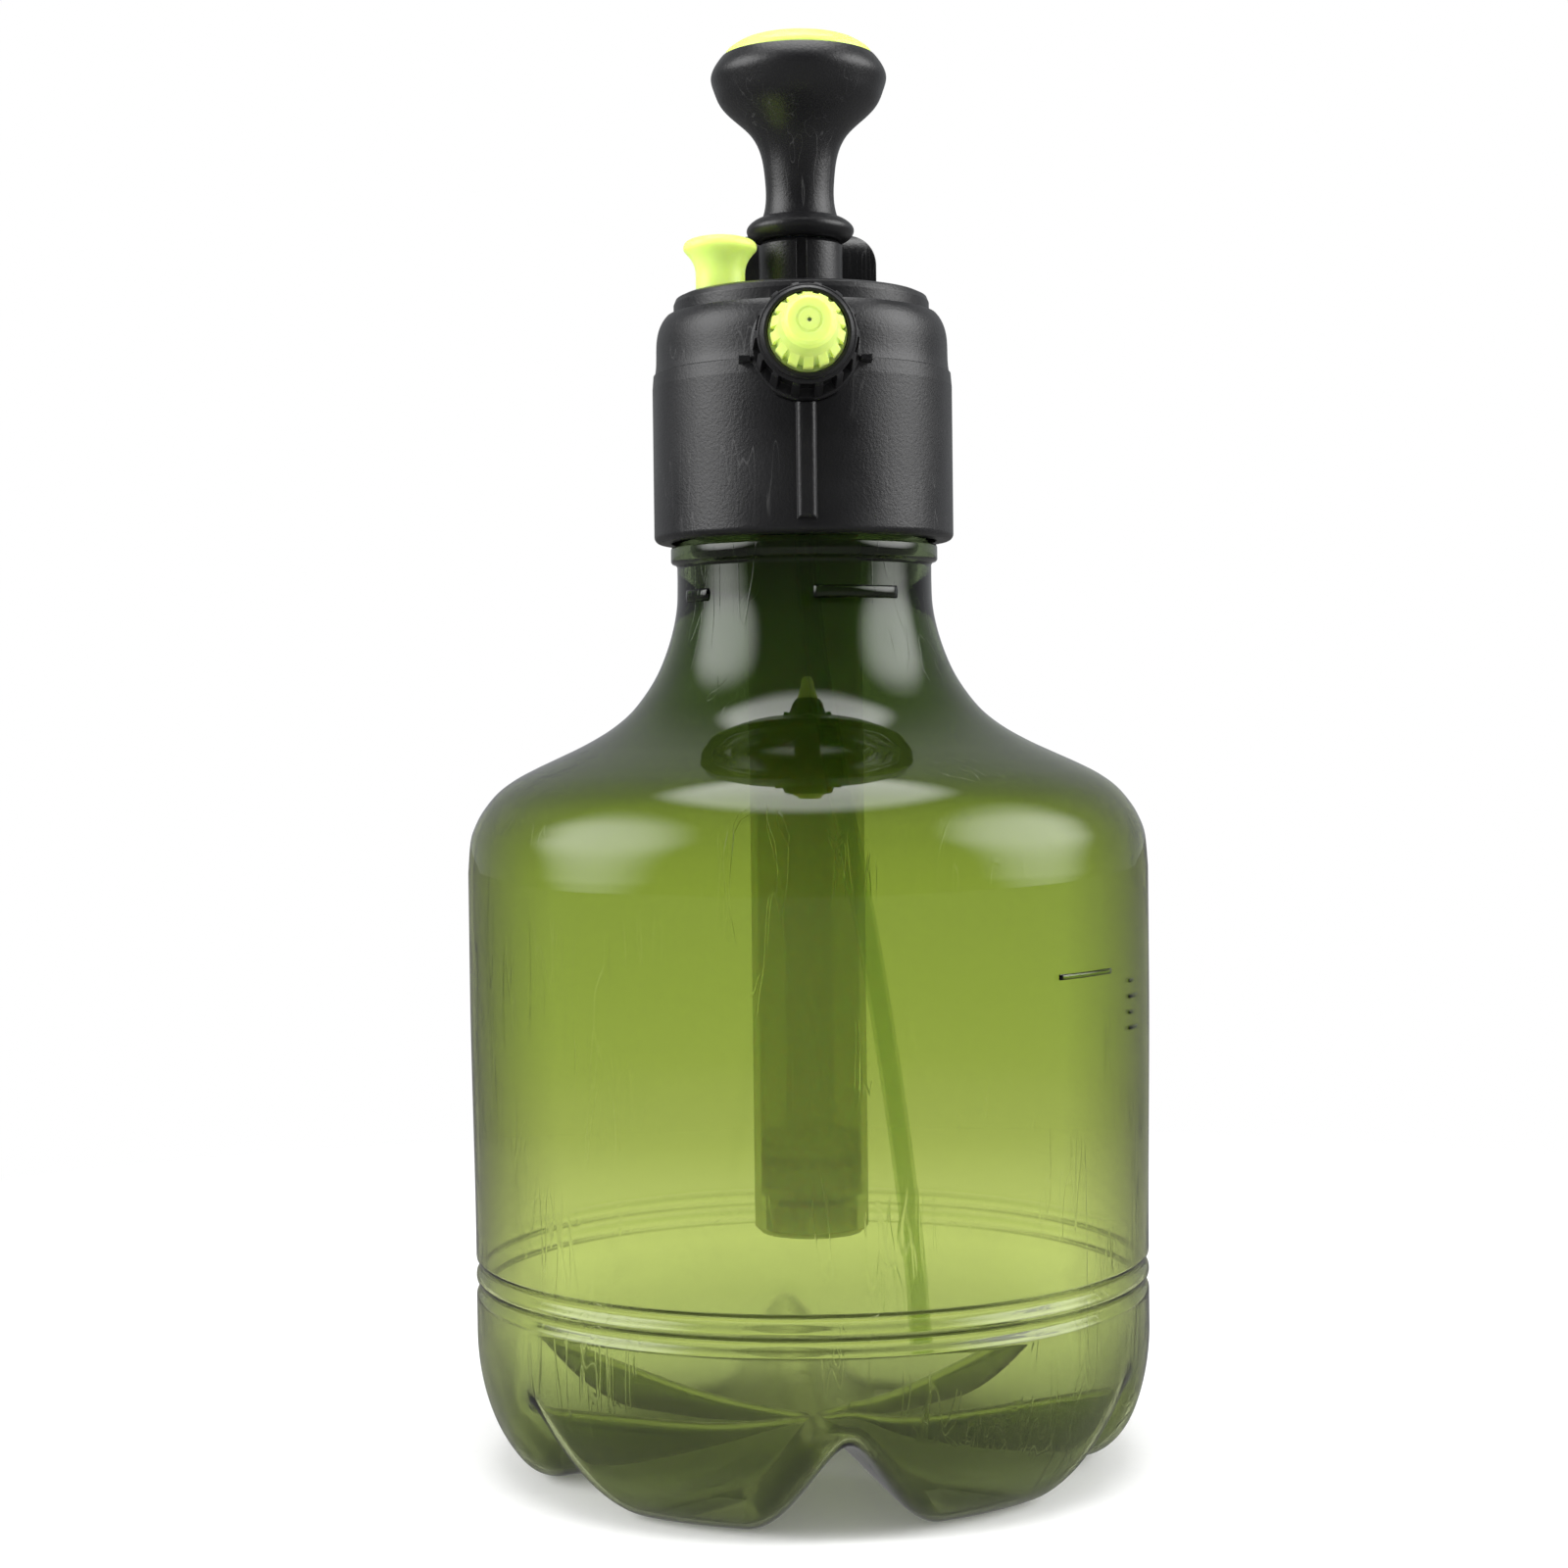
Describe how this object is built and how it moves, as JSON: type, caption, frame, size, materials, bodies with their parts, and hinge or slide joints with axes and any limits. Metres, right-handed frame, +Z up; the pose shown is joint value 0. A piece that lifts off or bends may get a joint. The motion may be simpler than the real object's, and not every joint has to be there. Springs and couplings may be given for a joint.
{
  "type": "pump pressure sprayer",
  "caption": "Hand pump pressure sprayer: clear bottle, screw-on head with pump knob, thumb lever, relief valve and adjustable nozzle.",
  "frame": {"origin": "centre of the plane that the feet stand on", "axes": "+Z up along the pump's axis, nozzle towards -Y, grip towards +Y, relief valve on the -X side"},
  "size_m": [0.154, 0.154, 0.323],
  "materials": {
    "bottle_pet": "clear green blow-moulded PET, glossy, lightly scratched",
    "black_satin": "satin black moulded polypropylene, fine grain",
    "yellow_green": "slightly translucent yellow-green moulded plastic",
    "milky_plastic": "milky natural polypropylene",
    "hose_plastic": "clear flexible PVC tube",
    "black_rubber": "nitrile rubber",
    "spring_steel": "stainless spring wire",
    "white_plastic": "white acetal"
  },
  "bodies": {
    "bottle": {"bottle": "bottle_pet"},
    "gasket": {"neck_gasket": "black_rubber"},
    "head": {"head_body": "black_satin", "top_cover": "black_satin", "pump_barrel": "milky_plastic", "barrel_seal": "black_rubber", "valve_cage": "milky_plastic", "pump_guide": "black_satin", "rod_seal": "black_rubber", "valve_cap": "white_plastic", "stem_seal": "black_rubber", "valve_spring": "spring_steel", "relief_spring": "spring_steel", "dip_tube": "hose_plastic", "lever_pins": "spring_steel", "nozzle_nut": "black_satin", "nozzle_spigot": "white_plastic"},
    "piston": {"piston": "white_plastic", "piston_ring": "black_rubber"},
    "plunger": {"pump_rod": "white_plastic", "pump_knob": "black_satin", "knob_cap": "yellow_green"},
    "check_valve": {"check_valve": "black_rubber"},
    "lever": {"thumb_lever": "black_satin"},
    "spray_valve": {"spray_valve_stem": "white_plastic", "seat_seal": "black_rubber"},
    "relief_valve": {"relief_knob": "yellow_green", "relief_seal": "black_rubber"},
    "cap_seal": {"nozzle_oring": "black_rubber"},
    "spray_cap": {"nozzle_cap": "yellow_green", "swirl_core": "white_plastic"}
  },
  "joints": [
    {"name": "head_rise", "type": "slide", "parent": "bottle", "child": "gasket", "axis": [0, 0, 1], "range_m": [0, 0.006]},
    {"name": "head_unscrew", "type": "hinge", "parent": "gasket", "child": "head", "pos_m": [0, 0, 0.22], "axis": [0, 0, 1], "range_deg": [0, 540]},
    {"name": "pump_stroke", "type": "slide", "parent": "head", "child": "piston", "axis": [0, 0, 1], "range_m": [0, 0.155]},
    {"name": "knob_turn", "type": "hinge", "parent": "piston", "child": "plunger", "pos_m": [0, 0, 0.3], "axis": [0, 0, 1], "continuous": true},
    {"name": "check_valve_lift", "type": "slide", "parent": "head", "child": "check_valve", "axis": [0, 0, -1], "range_m": [0, 0.0015]},
    {"name": "thumb_press", "type": "hinge", "parent": "head", "child": "lever", "pos_m": [0, 0.004, 0.2534], "axis": [-1, 0, 0], "range_deg": [0, 5.8], "stiffness_Nm_per_rad": 1.5},
    {"name": "spray_valve_lift", "type": "slide", "parent": "head", "child": "spray_valve", "axis": [0, 0, 1], "range_m": [0, 0.0028], "deforming": ["valve_spring"]},
    {"name": "relief_pull", "type": "slide", "parent": "head", "child": "relief_valve", "axis": [0, 0, 1], "range_m": [0, 0.0045], "stiffness_N_per_m": 600, "deforming": ["relief_spring"]},
    {"name": "cap_travel", "type": "slide", "parent": "head", "child": "cap_seal", "axis": [0, -1, 0], "range_m": [0, 0.003]},
    {"name": "cap_turn", "type": "hinge", "parent": "cap_seal", "child": "spray_cap", "pos_m": [0, -0.06, 0.2484], "axis": [0, -1, 0], "range_deg": [0, 540]}
  ],
  "couplings": [
    {"joint": "head_rise", "follows": "head_unscrew", "m_per_rad": 0.00063662},
    {"joint": "spray_valve_lift", "follows": "thumb_press", "m_per_rad": 0.0265},
    {"joint": "cap_turn", "follows": "cap_travel", "rad_per_m": 3141.6}
  ]
}
